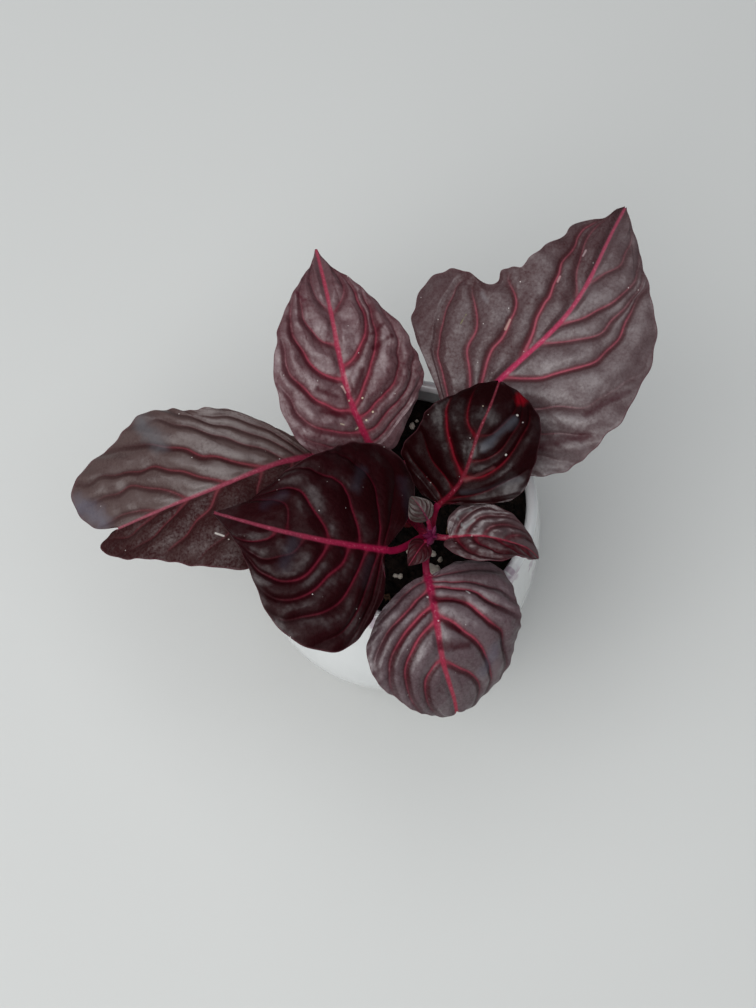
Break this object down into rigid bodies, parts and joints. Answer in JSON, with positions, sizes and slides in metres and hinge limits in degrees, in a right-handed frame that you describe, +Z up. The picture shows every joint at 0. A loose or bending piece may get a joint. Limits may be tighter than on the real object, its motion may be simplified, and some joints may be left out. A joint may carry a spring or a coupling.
{
  "type": "potted bloodleaf",
  "caption": "Young bloodleaf plant with broad dark red veined leaves on red stalks, growing in potting mix in a round-bellied glazed white pot.",
  "frame": {"origin": "centre of the pot's flat base, on the surface that the pot stands on", "axes": "+Z up out of the pot, -Y towards the side that the plant leans to, +X to the right seen from that side"},
  "size_m": [0.1656, 0.1576, 0.1313],
  "materials": {
    "pot_glaze": "gloss",
    "potting_mix": "matte",
    "stem": "satin",
    "leaf_dark": "satin",
    "leaf_sheen": "satin",
    "leaf_young": "satin"
  },
  "bodies": {
    "root": {"pot": "pot_glaze", "soil": "potting_mix", "stem": "stem", "leaf_front_left": "leaf_dark", "leaf_far_left": "leaf_dark", "leaf_back_left": "leaf_sheen", "leaf_back_right": "leaf_sheen", "leaf_upper_right": "leaf_dark", "leaf_front": "leaf_sheen", "leaf_small_right": "leaf_sheen", "young_leaf_front": "leaf_young", "young_leaf_inner": "leaf_young"}
  },
  "joints": []
}
